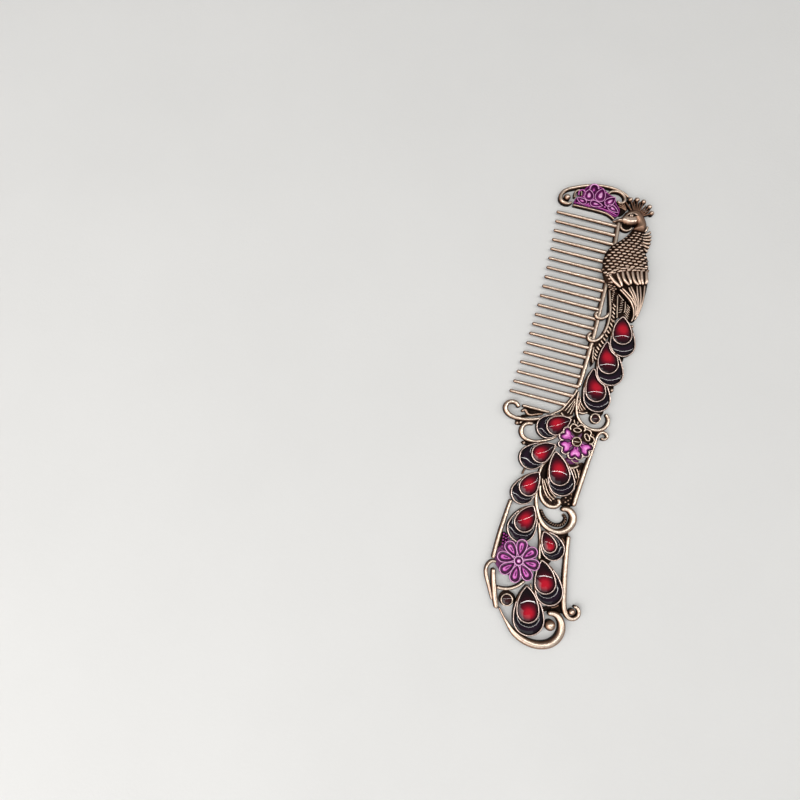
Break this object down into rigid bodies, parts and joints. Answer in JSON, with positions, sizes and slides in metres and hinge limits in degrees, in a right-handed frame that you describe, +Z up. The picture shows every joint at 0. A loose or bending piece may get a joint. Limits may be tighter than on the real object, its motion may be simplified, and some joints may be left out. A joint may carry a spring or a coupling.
{
  "type": "decorative hair comb",
  "caption": "Fine-toothed metal hair comb with a peacock, scrollwork, flowers and teardrop enamel inlays along its spine and grip.",
  "frame": {"origin": "centre of the footprint, on the surface the comb lies on, face up", "axes": "+Y along the comb towards the peacock's end, teeth towards -X, +Z up out of the decorated face"},
  "size_m": [0.0428, 0.1756, 0.0044],
  "materials": {
    "antique_copper": "antique copper plate, polished high spots, dark oxide in the recesses",
    "dark_copper": "oxidised copper, satin",
    "red_enamel": "translucent ruby enamel, glossy",
    "dark_enamel": "near-black aubergine enamel, glossy",
    "orchid_enamel": "pearly orchid enamel, glossy"
  },
  "bodies": {
    "root": {"beads": "antique_copper", "cabochon_cups": "antique_copper", "cabochons": "red_enamel", "casting_web": "dark_copper", "collet_grip_1": "antique_copper", "collet_grip_2": "antique_copper", "collet_grip_3": "antique_copper", "collet_grip_4": "antique_copper", "collet_grip_5": "antique_copper", "collet_grip_6": "antique_copper", "collet_grip_7": "antique_copper", "collet_grip_8": "antique_copper", "collet_tail_1": "antique_copper", "collet_tail_2": "antique_copper", "collet_tail_3": "antique_copper", "comb_teeth": "antique_copper", "crest": "antique_copper", "cross_wire": "antique_copper", "dark_crescents": "dark_enamel", "end_hook": "antique_copper", "end_scroll": "antique_copper", "flower_bosses": "antique_copper", "flower_lower_enamel": "orchid_enamel", "flower_lower_plate": "antique_copper", "flower_upper_enamel": "orchid_enamel", "flower_upper_plate": "antique_copper", "guard_bar": "antique_copper", "guard_curl": "antique_copper", "guard_scroll": "antique_copper", "leaf_fans": "dark_copper", "lotus_enamel": "orchid_enamel", "lotus_plate": "dark_copper", "lotus_sill": "antique_copper", "neck_ruff": "antique_copper", "peacock_body": "antique_copper", "peacock_head": "antique_copper", "peacock_wing": "antique_copper", "rail_left": "antique_copper", "rail_right": "antique_copper", "red_drop_grip_1": "red_enamel", "red_drop_grip_2": "red_enamel", "red_drop_grip_3": "red_enamel", "red_drop_grip_4": "red_enamel", "red_drop_grip_5": "red_enamel", "red_drop_grip_6": "red_enamel", "red_drop_grip_7": "red_enamel", "red_drop_grip_8": "red_enamel", "red_drop_tail_1": "red_enamel", "red_drop_tail_2": "red_enamel", "red_drop_tail_3": "red_enamel", "ring_scroll": "antique_copper", "scroll_beading": "dark_copper", "spine_bar": "antique_copper", "tail_hooks": "antique_copper", "tail_stems": "antique_copper", "tail_web": "dark_copper", "throat_ring": "antique_copper", "top_arch": "antique_copper", "top_scrolls": "antique_copper", "vine_scroll": "antique_copper"}
  },
  "joints": []
}
